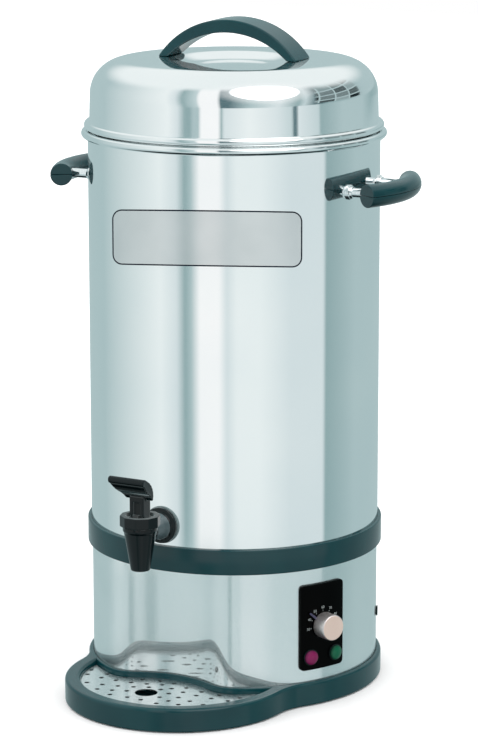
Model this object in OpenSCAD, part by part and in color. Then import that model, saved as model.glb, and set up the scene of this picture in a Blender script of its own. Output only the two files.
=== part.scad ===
// Mulled wine boiler: stainless pot with lid and lever tap on a heated lower housing.
// Millimetres. The tap faces -Y, +Z is up and the part stands on z = 0.

/* [Pot] */
// outer radius of pot and lower housing
body_r = 135; // [110:1:170]
// sheet thickness of pot and housing
sheet_t = 1; // [0.8:0.1:2]
// height of the pot rim above the table
rim_z = 519; // [420:1:620]
// tube radius of the rolled pot rim
rim_bead_r = 3.5; // [3:0.5:5]

/* [Lid] */
// height of the flat lid top above the rim
lid_h = 65; // [50:1:90]
// radius of the lid shoulder
lid_shoulder_r = 38; // [20:1:42]
// distance from the ends of the bow handle to the round dish in the lid top
dish_in = 12; // [11:1:24]
// depth of the dish
lid_dish_depth = 6; // [3:0.5:8]
// width of the sloped dish wall
dish_slope = 16; // [8:1:30]
// turn of the lid about the pot axis
lid_turn = 7; // [-90:1:90]
// half length of the bow handle
bow_half = 68; // [60:1:76]
// rise of the bow handle above the lid top
bow_rise = 36; // [32:0.5:50]
// width of the bow strap
bow_w = 38; // [24:1:44]
// thickness of the bow strap at its crown
bow_t = 12; // [10:0.5:16]

/* [Base] */
// height of the base moulding above the table
base_h = 22.5; // [20:0.5:30]
// how far the base ring stands out from the housing
base_out = 4; // [3:0.5:6]
// distance from the pot axis to the centre of the front lobe
lobe_y = 105.4; // [95:0.2:112]
// radius of the front lobe
lobe_r = 106.2; // [98:0.2:112]
// radius of the hollow corners between lobe and ring
neck_r = 60; // [40:1:80]
// radius of the rounded upper edge
edge_r = 3; // [1.5:0.5:3]
// width of the lip around the drip grid
lip_w = 14.5; // [10:0.5:20]
// depth of the drip grid below the base top
grid_drop = 5.5; // [3:0.5:7]
// diameter of the finger hole in the grid
finger_hole_d = 21; // [18:0.5:28]
// diameter of the drain holes in the grid
drain_hole_d = 4.6; // [3:0.2:6]
// height of the rubber feet below the base
foot_out = 1.2; // [1:0.2:4]

/* [Housing] */
// radius of the front scoop under the tap
scoop_r = 84; // [70:1:100]
// depth of the scoop measured from the housing front
scoop_depth = 28; // [15:1:34]
// radius of the rounded scoop edges
scoop_edge_r = 25; // [15:1:32]
// lower edge of the trim band
band_z = 129.6; // [110:0.2:150]
// height of the trim band
band_h = 23.2; // [18:0.2:30]
// how far the band stands out from the pot
band_out = 3.5; // [2:0.5:6]

/* [Side grips] */
// height of the grip centre above the table
grip_z = 472; // [380:1:490]
// radius of the grip bar
grip_r = 10.4; // [8:0.2:13]
// radius of the grip arc
grip_arc_r = 102; // [90:0.5:130]
// half angle of the grip arc
grip_half = 29; // [25:0.5:32]
// distance from the pot wall to the middle of the bar
grip_out = 33; // [28:0.5:45]
// turn of the pair of grips about the pot axis
grip_turn = 3; // [-30:0.5:30]
// half distance between the two studs of a grip
stud_y = 33; // [26:1:40]
// radius of the studs
stud_r = 4.3; // [3:0.1:6]

/* [Tap] */
// height of the tap inlet above the table
tap_z = 172.5; // [168:0.5:200]
// distance of the spout from the pot wall
tap_reach = 40; // [36:0.5:50]
// radius of the spout at its lower end
spout_r = 8.7; // [7.5:0.1:11]
// radius of the outlet bore
outlet_r = 5.5; // [4:0.1:6.5]
// radius of the tap body under the bonnet
tap_top_r = 15.7; // [15:0.1:18]
// radius of the wall flange
flange_r = 16.5; // [14:0.5:20]
// radius of the bonnet corners
bonnet_r = 18.4; // [17.6:0.1:21]
// width of the lever wing
wing_w = 38; // [30:1:50]

/* [Controls] */
// angle of the control panel from the front
panel_turn = 65.3; // [50:0.5:100]
// width of the control panel
panel_w = 49; // [44:0.5:56]
// height of the control panel
panel_h = 80.5; // [70:0.5:90]
// height of the panel centre above the table
panel_z = 74.3; // [70:0.5:80]
// radius of the thermostat knob
knob_r = 12; // [10:0.5:16]
// length of the thermostat knob
knob_len = 15; // [12:0.5:20]
// radius of the pilot lenses
lens_r = 7; // [5.5:0.1:8]

/* [Fits] */
// gap between bodies that move against each other
move_gap = 0.3; // [0.2:0.05:0.5]
// radial gap of a pin that turns in its hole
pin_gap = 0.05; // [0.02:0.01:0.1]
// gap between fixed pieces that slip together
slip_gap = 0.2; // [0.1:0.05:0.4]

/* [Hidden] */
$fn = 96;

steel = [0.78, 0.80, 0.81];
chrome = [0.86, 0.87, 0.88];
slate = [0.16, 0.23, 0.25];
black = [0.06, 0.07, 0.08];

// the frame stands at the middle of the footprint, so the pot axis is shifted back
ring_r = body_r + base_out;
rim_out_r = body_r - sheet_t + 2 * rim_bead_r;
frame_y = (lobe_y + lobe_r - max(ring_r, rim_out_r)) / 2;
base_z = foot_out;
floor_t = 2.5;

// corner circles that join lobe and ring, tangent to both
corner_ring = ring_r + neck_r;
corner_lobe = lobe_r + neck_r;
corner_y = (pow(corner_lobe, 2) - pow(corner_ring, 2) - lobe_y * lobe_y) / (2 * lobe_y);
corner_x = sqrt(pow(corner_ring, 2) - corner_y * corner_y);

// tiny step where two arcs meet, so that they join cleanly
join_step = 0.05;

// scoop circle in front of the housing and its rounded edges
scoop_y = body_r - scoop_depth + scoop_r;
edge_in = body_r - scoop_edge_r;
edge_off = scoop_r + scoop_edge_r;
edge_y = (pow(edge_off, 2) - pow(edge_in, 2) - scoop_y * scoop_y) / (2 * scoop_y);
edge_x = sqrt(pow(edge_in, 2) - edge_y * edge_y);

// levels of the stack
seat_z = base_z + 10.8;
shelf_z = band_z + 11.4;
shelf_t = 3;
pot_foot_z = shelf_z + shelf_t;
pot_floor_z = pot_foot_z + 12;
pot_floor_t = 2;
plate_t = 4;
plate_z = pot_floor_z - plate_t;
grid_top = base_h - grid_drop;
grid_t = 1;
grid_r = lobe_r - lip_w;

// lid
lid_z = rim_z + move_gap;
lid_top = rim_z + lid_h;
lid_r = body_r - 2;
lid_skirt_r = body_r - sheet_t - 0.8;
lid_dish_r = bow_half - dish_in;

// tap
tap_y = -(body_r + tap_reach);
pivot_z = tap_z + 11.5;
seat_ring_z = tap_z - 7;
chamber_r = 11.4;
pin_r = 1.5;
cheek_x = 5;
cheek_t = 2.2;
lift_y = 4;
lift_z = -2;
lift_pin_r = 0.9;

// grips: middle of the bar and centre of its arc on the grip axis
grip_x = body_r + grip_out;
grip_c = grip_x - grip_arc_r;

module in_frame() translate([0, frame_y, 0]) children();

// fine cylinder of the body, used to shape small pieces that sit on it
module body_round(g) cylinder(r = body_r + g, h = rim_z, $fn = 720);

// plan of the housing with its scoop, moved outwards by g
module housing_plan(g) {
  difference() {
    circle(r = body_r + g);
    for (s = [-1, 1])
      polygon([[0, -scoop_y], [s * edge_x, edge_y],
        [s * edge_x * 1.9, edge_y * 1.9]]);
    translate([0, -scoop_y]) circle(r = scoop_r - g);
  }
  for (s = [-1, 1]) translate([s * edge_x, edge_y]) circle(r = scoop_edge_r + g - join_step);
}

// plan of the drip basin, moved inwards by g
module basin_plan(g) {
  difference() {
    translate([0, -lobe_y]) circle(r = grid_r - g);
    housing_plan(3 + g);
  }
}

// points of a rounded edge in three flats, from the side (a = 0) up to the top (a = 90)
function edge_x_at(a) = edge_r * (1 - cos(a));
function edge_z_at(a) = edge_r * (1 - sin(a));
edge_steps = [0, 30, 60, 90];

// disc with a rounded upper edge
module soft_disc(r, z0, z1)
  rotate_extrude() polygon(concat([[0, z0], [r, z0]],
    [for (a = edge_steps) [r - edge_x_at(a), z1 - edge_z_at(a)]], [[0, z1]]));

// tool that hollows a corner and rounds its upper edge
module soft_corner_cut(z0, z1) {
  cut_r = neck_r - join_step;
  rotate_extrude() polygon(concat([[0, z0 - 1], [cut_r, z0 - 1]],
    [for (a = edge_steps) [cut_r + edge_x_at(a), z1 - edge_z_at(a)]],
    [[cut_r + edge_r, z1 + 1], [0, z1 + 1]]));
}

module rod(a, b, r) {
  d = b - a;
  l = norm(d);
  translate(a) rotate([0, acos(d[2] / l), atan2(d[1], d[0])]) cylinder(r = r, h = l);
}

// tie rods that clamp the stack
tie_angles = [-140, -38, 38, 140];
tie_radius = body_r - 23;
tie_r = 2.5;
module at_ties() for (a = tie_angles) rotate([0, 0, a]) translate([0, -tie_radius, 0]) children();

// feet under ring and lobe
foot_r = 9;
foot_pocket = 1.5;
ring_foot_in = 21.7;
lobe_foot_in = 22.65;
module at_feet() {
  for (s = [-1, 1]) {
    rotate([0, 0, s * 47.86]) translate([0, body_r - ring_foot_in, 0]) children();
    translate([0, -lobe_y, 0]) rotate([0, 0, s * 42.09])
      translate([0, lobe_foot_in - lobe_r, 0]) children();
  }
}

module base_solid() {
  soft_disc(ring_r, base_z, base_h);
  translate([0, -lobe_y, 0]) soft_disc(lobe_r, base_z, base_h);
  difference() {
    translate([0, 0, base_z]) linear_extrude(base_h - base_z)
      polygon([[0, 0], [corner_x, corner_y], [0, -lobe_y], [-corner_x, corner_y]]);
    for (s = [-1, 1]) translate([s * corner_x, corner_y, 0]) soft_corner_cut(base_z, base_h);
  }
}

module base_moulding() color(slate) in_frame() {
  difference() {
    base_solid();
    translate([0, 0, base_z + floor_t]) linear_extrude(base_h) housing_plan(-7);
    translate([0, 0, seat_z]) linear_extrude(base_h) housing_plan(slip_gap);
    translate([0, 0, grid_top - grid_t]) linear_extrude(base_h) basin_plan(0);
    translate([0, 0, base_z + floor_t + 1.3]) linear_extrude(base_h) basin_plan(3);
    at_feet() translate([0, 0, base_z - 1]) cylinder(r = foot_r, h = foot_pocket + 1);
    at_ties() translate([0, 0, base_z - 1]) cylinder(r = tie_r + slip_gap, h = 20);
  }
  difference() {
    at_ties() translate([0, 0, base_z + floor_t - 0.5]) cylinder(r = 8, h = 8.5);
    at_ties() translate([0, 0, base_z]) cylinder(r = tie_r + slip_gap, h = 20);
  }
}

module rubber_feet() color(black) in_frame() at_feet() cylinder(r = foot_r, h = foot_out + foot_pocket);

module tie_rods() color(chrome) in_frame() at_ties()
  translate([0, 0, base_z + 0.6]) cylinder(r = tie_r, h = pot_floor_z - base_z - 0.6);

tie_nut_z = base_z + floor_t + 8;
module tie_nuts() color(chrome) in_frame() at_ties() translate([0, 0, tie_nut_z]) difference() {
  cylinder(r = 4.6, h = 4, $fn = 6);
  translate([0, 0, -1]) cylinder(r = tie_r, h = 6);
}

// places children with +Z pointing out of the panel, at its centre line, from the pot axis
module on_panel(u, z) rotate([0, 0, panel_turn]) translate([u, 0, z]) rotate([90, 0, 0]) children();

knob_z = panel_z + 1;
lens_u = 14;
lens_z = panel_z - 28;
gland_turn = 113.5;
gland_z = 60;
panel_t = 1.8;
module on_gland() rotate([0, 0, gland_turn]) translate([0, 0, gland_z]) rotate([90, 0, 0]) children();

lamp_r = lens_r - 1.2;
module panel_holes() {
  on_panel(0, knob_z) translate([0, 0, body_r - 20]) cylinder(r = 4.5, h = 40);
  for (s = [-1, 1])
    on_panel(s * lens_u, lens_z) translate([0, 0, body_r - 20]) cylinder(r = lamp_r + slip_gap, h = 40);
}

gland_r = 4.2;
module lower_housing() color(steel) in_frame() difference() {
  translate([0, 0, seat_z]) linear_extrude(shelf_z - seat_z) difference() {
    housing_plan(0);
    housing_plan(-sheet_t);
  }
  panel_holes();
  on_gland() translate([0, 0, body_r - 20]) cylinder(r = gland_r + slip_gap, h = 40);
}

module trim_band() color(slate) in_frame() difference() {
  translate([0, 0, band_z]) cylinder(r = body_r + band_out, h = band_h);
  translate([0, 0, band_z - 1]) cylinder(r = body_r + slip_gap, h = shelf_z - band_z + 1);
  translate([0, 0, pot_foot_z]) cylinder(r = body_r + slip_gap, h = band_h);
  translate([0, 0, band_z - 1]) cylinder(r = body_r - 15, h = band_h + 2);
}

shank_r = 9.5;
module pot() color(steel) in_frame() difference() {
  rotate_extrude() {
    translate([body_r - sheet_t, pot_foot_z]) square([sheet_t, rim_z - rim_bead_r - pot_foot_z]);
    translate([0, pot_floor_z]) square([body_r - sheet_t / 2, pot_floor_t]);
    translate([rim_out_r - rim_bead_r, rim_z - rim_bead_r]) circle(r = rim_bead_r);
  }
  translate([0, -body_r - 20, tap_z]) rotate([-90, 0, 0]) cylinder(r = shank_r + slip_gap, h = 40);
}

// drip grid: bowed rows of drain holes around the finger hole, turned a little as a whole
hole_y = lobe_y + 49.6;
hole_turn = -2.6;
// each row: angle of its first hole, step, holes per side, distance from the scoop, growth per degree
drain_rows = [[3.6, 7.4, 5, 9, 0.98], [0, 5.85, 6, 21, 1], [2.65, 4.8, 5, 29.5, 1.55],
  [6.4, 4.1, 3, 43, 1.72], [2.4, 5.7, 2, 67, 0.58]];
module drain_hole(a, r) translate([r * sin(a), -r * cos(a)]) circle(d = drain_hole_d, $fn = 24);
module drain_holes()
  for (row = drain_rows, i = [0:row[2] - 1]) {
    a = row[0] + i * row[1];
    r = body_r - scoop_depth + row[3] + row[4] * a;
    drain_hole(a, r);
    if (a > 0) drain_hole(-a, r);
  }
module drip_grid() color(steel) in_frame() translate([0, 0, grid_top - grid_t + move_gap])
  linear_extrude(grid_t) difference() {
    basin_plan(move_gap);
    rotate(hole_turn) translate([0, -hole_y]) circle(d = finger_hole_d);
    intersection() {
      rotate(hole_turn) drain_holes();
      basin_plan(1.2);
    }
  }

// half section of the lid, drawn in by the sheet t; the dish wall is as thick as the sheet
module lid_section(t) {
  c = lid_shoulder_r;
  wall = t * norm([dish_slope, lid_dish_depth]) / dish_slope;
  difference() {
    union() {
      translate([0, lid_z]) square([lid_r - t, lid_h - move_gap - c]);
      translate([0, lid_z]) square([lid_r - c, lid_h - move_gap - t]);
      translate([lid_r - c, lid_top - c]) circle(r = c - t);
    }
    polygon([[0, lid_top - lid_dish_depth - wall], [lid_dish_r - dish_slope, lid_top - lid_dish_depth - wall],
      [lid_dish_r, lid_top - wall], [lid_dish_r, lid_top + 1], [0, lid_top + 1]]);
    translate([0, lid_z - 100]) square([lid_r + 10, 100]);
  }
}

screw_x = bow_half - 6;
screw_r = 2;
module lid_shell() color(steel) in_frame() rotate([0, 0, lid_turn]) difference() {
  rotate_extrude() {
    difference() {
      lid_section(0);
      lid_section(sheet_t);
      translate([0, lid_z - 1]) square([lid_skirt_r - 1, 3]);
    }
    translate([lid_skirt_r - sheet_t, lid_z - 10]) square([sheet_t, 12]);
    translate([lid_skirt_r - sheet_t, lid_z]) square([lid_r - lid_skirt_r + sheet_t + 1.4, 7.6]);
    translate([lid_r + 1.5, lid_z + 3.8]) circle(r = 3.8);
  }
  for (s = [-1, 1]) translate([s * screw_x, 0, lid_top - 5]) cylinder(r = screw_r + slip_gap, h = 10);
}

bow_or = (bow_half * bow_half + bow_rise * bow_rise) / (2 * bow_rise);
bow_in_half = bow_half - 9.5;
bow_in_rise = bow_rise - bow_t;
bow_ir = (bow_in_half * bow_in_half + bow_in_rise * bow_in_rise) / (2 * bow_in_rise);
module lid_bow() color(slate) in_frame() rotate([0, 0, lid_turn]) translate([0, 0, lid_top]) difference() {
  translate([0, bow_w / 2, 0]) rotate([90, 0, 0]) linear_extrude(bow_w) intersection() {
    difference() {
      translate([0, bow_rise - bow_or]) circle(r = bow_or, $fn = 180);
      translate([0, bow_in_rise - bow_ir]) circle(r = bow_ir, $fn = 180);
    }
    translate([-bow_half - 5, 0]) square([2 * bow_half + 10, bow_rise + 5]);
  }
  for (s = [-1, 1]) translate([s * screw_x, 0, -1]) cylinder(r = screw_r, h = 4.8);
}

module lid_screws() color(chrome) in_frame() rotate([0, 0, lid_turn])
  for (s = [-1, 1]) translate([s * screw_x, 0, lid_top]) {
    translate([0, 0, -sheet_t - 2.4]) cylinder(r = 3.8, h = 2.4);
    translate([0, 0, -sheet_t - 0.1]) cylinder(r = screw_r, h = 3.7 + sheet_t);
  }

// half of a grip bar: an arc about the grip centre
module grip_half_bar(side, up) rotate([0, 0, grip_turn + (side > 0 ? 0 : 180)])
  translate([grip_c, 0, grip_z]) difference() {
    rotate([0, 0, -grip_half]) rotate_extrude(angle = 2 * grip_half, $fn = 180)
      translate([grip_arc_r, 0]) intersection() {
        circle(r = grip_r);
        translate([-20, up > 0 ? 0 : -20]) square([40, 20]);
      }
    for (s = [-1, 1]) translate([0, s * stud_y, 0]) rotate([0, 90, 0]) cylinder(r = stud_r, h = stud_in);
  }
stud_in = sqrt(grip_arc_r * grip_arc_r - stud_y * stud_y);
module right_grip_upper() color(slate) in_frame() grip_half_bar(1, 1);
module right_grip_lower() color(slate) in_frame() grip_half_bar(1, -1);
module left_grip_upper() color(slate) in_frame() grip_half_bar(-1, 1);
module left_grip_lower() color(slate) in_frame() grip_half_bar(-1, -1);

module at_studs() for (side = [0, 180]) rotate([0, 0, grip_turn + side])
  for (s = [-1, 1]) translate([0, s * stud_y, grip_z]) rotate([0, 90, 0]) children();

module grip_studs() color(chrome) in_frame() difference() {
  at_studs() cylinder(r = stud_r, h = grip_c + stud_in);
  body_round(0);
}

collar_x = sqrt(pow(body_r, 2) - pow(stud_y, 2));
module grip_collars() color(chrome) in_frame() difference() {
  at_studs() translate([0, 0, collar_x - 6]) {
    cylinder(r = stud_r + 3, h = 8);
    translate([0, 0, 8]) cylinder(r1 = stud_r + 3, r2 = stud_r + 0.6, h = 2.6);
  }
  at_studs() cylinder(r = stud_r, h = grip_x);
  body_round(0);
}

// tap: places children on the spout axis at the table
module at_tap() in_frame() translate([0, tap_y, 0]) children();
// places children on the inlet axis, +Z pointing from the pot to the spout
module at_inlet() in_frame() translate([0, 0, tap_z]) rotate([90, 0, 0]) children();

spout_z = tap_z - 33;
cone_top_z = tap_z + 3.5;
ledge_z = tap_z + 8;
bonnet_h = 10;
flange_t = 4;
seal_t = 2;
inlet_bore_r = 5.8;
neck_in_r = 14.2;
module tap_body() color(black) difference() {
  union() {
    at_tap() translate([0, 0, spout_z]) cylinder(r1 = spout_r, r2 = tap_top_r - 0.8, h = cone_top_z - spout_z);
    at_tap() translate([0, 0, cone_top_z]) cylinder(r = tap_top_r, h = ledge_z - cone_top_z);
    at_tap() translate([0, 0, ledge_z]) cylinder(r = neck_in_r, h = 6.4);
    at_inlet() translate([0, 0, body_r - 16]) cylinder(r = shank_r, h = tap_reach + 16);
    at_inlet() translate([0, 0, body_r + seal_t]) cylinder(r = flange_r, h = flange_t);
    at_inlet() translate([0, 0, body_r + seal_t + flange_t])
      cylinder(r1 = flange_r - 3, r2 = shank_r, h = 6);
  }
  at_tap() translate([0, 0, spout_z - 1]) cylinder(r = outlet_r, h = 40);
  at_tap() translate([0, 0, seat_ring_z]) cylinder(r = chamber_r, h = 40);
  at_inlet() translate([0, 0, body_r - 20]) cylinder(r = inlet_bore_r, h = tap_reach + 20);
  at_tap() translate([-30, 0, pivot_z]) rotate([0, 90, 0]) cylinder(r = pin_r, h = 60);
  at_tap() translate([0, 0, ledge_z]) difference() {
    cylinder(r = bonnet_r + 0.5, h = bonnet_h);
    translate([0, 0, -1]) cylinder(r = neck_in_r, h = bonnet_h + 2);
  }
}

module tap_seal_outer() color([0.45, 0.50, 0.48]) difference() {
  at_inlet() translate([0, 0, body_r - 3]) cylinder(r = flange_r + 0.7, h = seal_t + 3);
  at_inlet() cylinder(r = shank_r, h = body_r + 20);
  in_frame() body_round(0);
}

module tap_seal_inner() color([0.45, 0.50, 0.48]) difference() {
  intersection() {
    at_inlet() translate([0, 0, body_r - 5]) cylinder(r = 14, h = 6);
    in_frame() body_round(-sheet_t);
  }
  at_inlet() cylinder(r = shank_r, h = body_r + 20);
}

module tap_nut() color(black) difference() {
  at_inlet() translate([0, 0, body_r - 12]) cylinder(r = 15.5, h = 7, $fn = 6);
  at_inlet() cylinder(r = shank_r, h = body_r + 20);
}

module tap_bonnet() color(black) at_tap() translate([0, 0, ledge_z]) difference() {
  cylinder(r = bonnet_r, h = bonnet_h, $fn = 10);
  translate([0, 0, -1]) cylinder(r = neck_in_r + slip_gap, h = 7.4 + slip_gap);
  translate([0, 0, 5]) cylinder(r = 12.7, h = 10);
}

module tap_pivot_pin() color(chrome) at_tap() translate([-13.6, 0, pivot_z]) rotate([0, 90, 0])
  cylinder(r = pin_r, h = 27.2);

// lever: two cheeks on the pin, a slotted neck and a winged top
neck_w = 7.2;
wing_z = pivot_z + 42.5;
module tap_lever() color(black) at_tap() {
  difference() {
    union() {
      for (s = [-1, 1]) translate([s > 0 ? cheek_x : -cheek_x - cheek_t, 0, pivot_z]) {
        rotate([0, 90, 0]) cylinder(r = 5.4, h = cheek_t);
        translate([0, -5.4, 0]) cube([cheek_t, 10.8, 12]);
      }
      translate([-neck_w, -6.4, pivot_z + 7]) cube([2 * neck_w, 12.8, 17.5]);
    }
    translate([-3.8, -8, pivot_z + 6]) cube([7.6, 5.2, 13]);
    translate([-30, 0, pivot_z]) rotate([0, 90, 0]) cylinder(r = pin_r + pin_gap, h = 60);
    translate([-30, lift_y, pivot_z + lift_z]) rotate([0, 90, 0]) cylinder(r = lift_pin_r + 0.6, h = 60);
  }
  hull() {
    translate([-wing_w / 2, -19.5, wing_z]) rotate([0, 90, 0]) cylinder(r = 3.4, h = wing_w, $fn = 32);
    for (s = [-1, 1])
      translate([s * (wing_w / 2 - 2), -11.5, wing_z - 13.5]) sphere(r = 2, $fn = 24);
    translate([-neck_w, -6.4, pivot_z + 24]) cube([2 * neck_w, 12.8, 3]);
  }
}

// seat cup that closes the outlet, with a cranked stem that carries the lifting pin
seat_rest = 0.1;
arm_z = pivot_z - 8.5;
module tap_seat_cup() color([0.75, 0.76, 0.74]) at_tap() {
  translate([0, 0, seat_ring_z + seat_rest]) cylinder(r = 8.4, h = 5);
  translate([0, 0, seat_ring_z + 4]) cylinder(r = 2.6, h = arm_z - seat_ring_z - 3);
  translate([-2, -1, arm_z]) cube([4, lift_y + 2.4, 2.5]);
  translate([-2, lift_y - 1.4, arm_z]) cube([4, 2.8, pivot_z + lift_z + 1.4 - arm_z]);
  translate([-cheek_x - cheek_t, lift_y, pivot_z + lift_z]) rotate([0, 90, 0])
    cylinder(r = lift_pin_r, h = 2 * (cheek_x + cheek_t));
}

module control_panel() color(black) in_frame() difference() {
  intersection() {
    difference() {
      body_round(panel_t);
      body_round(0);
    }
    on_panel(0, panel_z) translate([0, 0, body_r - 20]) linear_extrude(40) {
      square([panel_w - 8, panel_h], center = true);
      square([panel_w, panel_h - 8], center = true);
      for (a = [-1, 1], b = [-1, 1])
        translate([a * (panel_w / 2 - 4), b * (panel_h / 2 - 4)]) circle(r = 4);
    }
  }
  panel_holes();
}

shaft_r = 3;
knob_at = body_r + panel_t + 0.5;
module thermostat_knob() color(chrome) in_frame() on_panel(0, knob_z) difference() {
  union() {
    translate([0, 0, knob_at]) cylinder(r = knob_r, h = knob_len - 1);
    translate([0, 0, knob_at + knob_len - 1]) cylinder(r1 = knob_r, r2 = knob_r - 1, h = 1);
  }
  translate([0, 0, knob_at - 1]) cylinder(r = shaft_r, h = knob_len - 3);
}

thermo_w = body_r - 20;
module thermostat_shaft() color(chrome) in_frame() on_panel(0, knob_z)
  translate([0, 0, thermo_w - 6]) cylinder(r = shaft_r, h = knob_at + knob_len - 4 - thermo_w + 6);

module thermostat_body() color([0.82, 0.80, 0.74]) in_frame() on_panel(0, knob_z) difference() {
  union() {
    translate([-17, -17, thermo_w - 18]) cube([34, 34, 18]);
    translate([0, 0, thermo_w]) cylinder(r = 6, h = 8);
  }
  translate([0, 0, thermo_w - 7]) cylinder(r = shaft_r + pin_gap, h = 40);
}

// the element ring follows the pot, the sensing bulb lies across the middle of the ring
element_r = 4;
element_ring_r = body_r - 65;
bulb_z = plate_z - 3;
bulb_y = element_ring_r - 30;
thermo_x = sin(panel_turn) * (thermo_w - 9);
thermo_y = -cos(panel_turn) * (thermo_w - 9);
module thermostat_bulb() color([0.72, 0.45, 0.30]) in_frame() {
  rod([-35, bulb_y, bulb_z], [35, bulb_y, bulb_z], 3);
  rod([34, bulb_y, bulb_z], [44, bulb_y, bulb_z - 14], 1.2);
  translate([44, bulb_y, bulb_z - 14]) sphere(r = 1.8, $fn = 24);
  rod([44, bulb_y, bulb_z - 14], [thermo_x, thermo_y, bulb_z - 20], 1.2);
  translate([thermo_x, thermo_y, bulb_z - 20]) sphere(r = 1.8, $fn = 24);
  rod([thermo_x, thermo_y, knob_z + 17], [thermo_x, thermo_y, bulb_z - 20], 1.2);
}

lens_at = sqrt(pow(body_r + panel_t, 2) - pow(lens_u + lens_r, 2));
module pilot_lens(s) in_frame() difference() {
  on_panel(s * lens_u, lens_z) {
    translate([0, 0, lens_at - 1]) cylinder(r = lens_r, h = 4);
    translate([0, 0, lens_at + 3]) rotate_extrude() intersection() {
      translate([0, -11]) circle(r = 13);
      square([lens_r, 4]);
    }
  }
  body_round(panel_t);
}
module pilot_lens_red() color([0.56, 0.08, 0.30]) pilot_lens(-1);
module pilot_lens_green() color([0.07, 0.40, 0.24]) pilot_lens(1);

module pilot_lamp_bodies() color(black) in_frame() intersection() {
  for (s = [-1, 1]) on_panel(s * lens_u, lens_z) translate([0, 0, body_r - 24]) cylinder(r = lamp_r, h = 30);
  body_round(panel_t);
}

lead_x = 9;
lead_y = sqrt(pow(element_ring_r, 2) - pow(lead_x, 2));
module heating_element() color([0.30, 0.31, 0.32]) in_frame() translate([0, 0, plate_z - element_r]) {
  rotate_extrude() translate([element_ring_r, 0]) circle(r = element_r);
  for (s = [-1, 1]) translate([s * lead_x, lead_y, -26]) cylinder(r = 3, h = 26);
}

module heat_plate() color([0.70, 0.70, 0.70]) in_frame()
  translate([0, 0, plate_z]) cylinder(r = body_r - 37, h = plate_t);

module safety_cutout() color([0.85, 0.83, 0.78]) in_frame() {
  translate([0, 0, plate_z - 8]) cylinder(r = 10, h = 8);
  for (s = [-1, 1]) translate([s * 5 - 3, -0.5, plate_z - 15]) cube([6, 1, 7.5]);
}

module terminal_block() color([0.90, 0.90, 0.88]) in_frame() difference() {
  translate([-22, body_r - 64, base_z + floor_t]) cube([44, 18, 18]);
  for (i = [-1, 0, 1]) translate([i * 13, body_r - 75, base_z + floor_t + 9]) rotate([-90, 0, 0])
    cylinder(r = 2.5, h = 40);
}

module mains_gland() color(black) in_frame() difference() {
  union() {
    difference() {
      on_gland() translate([0, 0, body_r - 4]) cylinder(r = gland_r + 0.8, h = 4.9);
      body_round(0);
    }
    on_gland() translate([0, 0, body_r - 12]) cylinder(r = gland_r, h = 12.5);
  }
  on_gland() translate([0, 0, body_r - 20]) cylinder(r = 3, h = 40);
}

base_moulding();
rubber_feet();
tie_rods();
tie_nuts();
lower_housing();
trim_band();
pot();
drip_grid();
lid_shell();
lid_bow();
lid_screws();
right_grip_upper();
right_grip_lower();
left_grip_upper();
left_grip_lower();
grip_studs();
grip_collars();
tap_body();
tap_seal_outer();
tap_seal_inner();
tap_nut();
tap_bonnet();
tap_pivot_pin();
tap_lever();
tap_seat_cup();
control_panel();
thermostat_knob();
thermostat_shaft();
thermostat_body();
thermostat_bulb();
pilot_lens_red();
pilot_lens_green();
pilot_lamp_bodies();
heating_element();
heat_plate();
safety_cutout();
terminal_block();
mains_gland();
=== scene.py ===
"""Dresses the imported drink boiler.

Polished steel pot and lid, slate plastic trim, lever tap and controls.
"""

import math

import bmesh
import bpy
from mathutils import Matrix, Vector


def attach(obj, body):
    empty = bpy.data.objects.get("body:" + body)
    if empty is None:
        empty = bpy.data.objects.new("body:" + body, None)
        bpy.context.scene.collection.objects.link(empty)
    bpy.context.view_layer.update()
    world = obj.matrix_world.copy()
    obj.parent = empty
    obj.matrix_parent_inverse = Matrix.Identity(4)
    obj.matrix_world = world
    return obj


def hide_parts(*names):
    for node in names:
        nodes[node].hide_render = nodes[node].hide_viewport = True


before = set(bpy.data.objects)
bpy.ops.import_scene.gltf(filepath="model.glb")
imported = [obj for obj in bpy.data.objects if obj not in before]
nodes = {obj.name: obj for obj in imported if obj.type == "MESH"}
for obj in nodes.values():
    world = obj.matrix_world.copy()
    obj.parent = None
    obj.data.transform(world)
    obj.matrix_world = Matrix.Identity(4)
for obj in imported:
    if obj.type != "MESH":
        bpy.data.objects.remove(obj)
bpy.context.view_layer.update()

# Sizes are written in millimetres and turned to metres here.
MM = 0.001
# the pot axis stands behind the middle of the footprint
AXIS_Y = 35.3
BODY_R = 135.0
SHEET = 1.0
RIM_Z = 519.0
LID_TOP = 584.0
LID_R = 133.0
HOUSING_LOW = 12.0
HOUSING_HIGH = 141.0
POT_LOW = 144.0
POT_FLOOR = 158.0
POT_CORNER_R = 4.0
# rings that part the tall pot wall into shorter faces
WALL_RING_1, WALL_RING_2 = 200.0, 340.0
# cutting tools reach up to here when they only have to clear the base
CLEAR_Z = 40.0
# angle of the camera from the front, towards the control panel
VIEW_TURN = math.radians(29.0)


# Camera

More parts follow.
